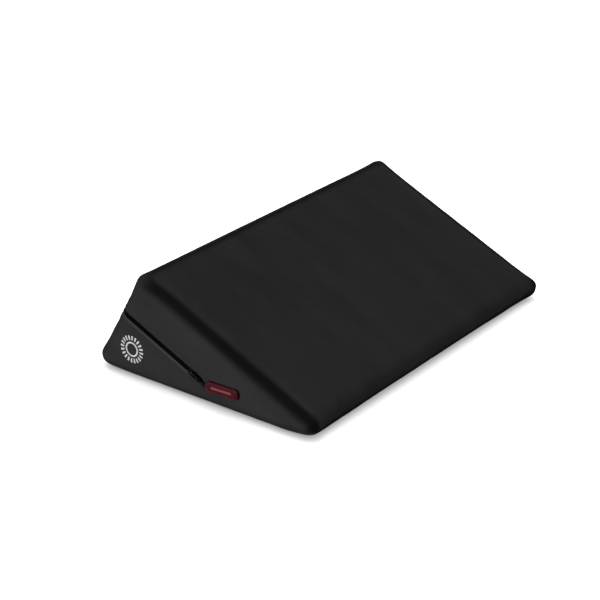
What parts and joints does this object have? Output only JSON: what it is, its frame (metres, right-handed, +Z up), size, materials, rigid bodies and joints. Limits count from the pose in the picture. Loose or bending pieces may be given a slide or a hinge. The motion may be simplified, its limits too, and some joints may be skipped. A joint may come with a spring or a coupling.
{
  "type": "foam slant wedge",
  "caption": "Foam slant wedge in a black zip-off cover: sloped top, blunt front edge and leaning back, with a zip round the sides and back and a red rubber grip on its slider.",
  "frame": {"origin": "middle of the base on the floor, half way across the width and half way between the front and back edges of the base", "axes": "+X along the width away from the side with the zip slider, +Y from the thin front edge to the thick back, +Z up"},
  "size_m": [0.6183, 0.4055, 0.1731],
  "materials": {
    "foam": "matte",
    "cover": "matte",
    "base_cloth": "matte",
    "zip_tape": "matte",
    "zip_coil": "satin",
    "enamel": "satin",
    "spring_steel": "satin",
    "grip_rubber": "satin",
    "inlay_rubber": "matte"
  },
  "bodies": {
    "wedge": {"foam_core": "foam", "top_panel": "cover", "base_panel": "base_cloth", "back_upper_panel": "cover", "back_lower_panel": "cover", "left_upper_panel": "cover", "left_lower_panel": "cover", "right_upper_panel": "cover", "right_lower_panel": "cover", "zip_tape_upper": "zip_tape", "zip_tape_lower": "zip_tape", "zip_coil_upper": "zip_coil", "zip_coil_lower": "zip_coil", "zip_top_stop_upper": "enamel", "zip_top_stop_lower": "enamel", "zip_bottom_stop": "enamel"},
    "slider": {"slider_body": "enamel", "slider_bridge": "enamel", "lock_spring": "spring_steel"},
    "tab": {"pull_tab": "enamel"},
    "grip": {"pull_link": "enamel", "pull_grip": "grip_rubber", "grip_inlay": "inlay_rubber"}
  },
  "joints": [
    {"name": "zip_slide", "type": "slide", "parent": "wedge", "child": "slider", "axis": [0, 0.9102, 0.4142], "range_m": [0, 0.12]},
    {"name": "tab_hinge", "type": "hinge", "parent": "slider", "child": "tab", "pos_m": [-0.3087, 0.00603, 0.0457], "axis": [0, 0.4142, -0.9102], "range_deg": [0, 165]},
    {"name": "grip_swing", "type": "hinge", "parent": "tab", "child": "grip", "pos_m": [-0.3087, -0.00726, 0.03966], "axis": [-1, 0, 0], "range_deg": [-20, 60]}
  ]
}
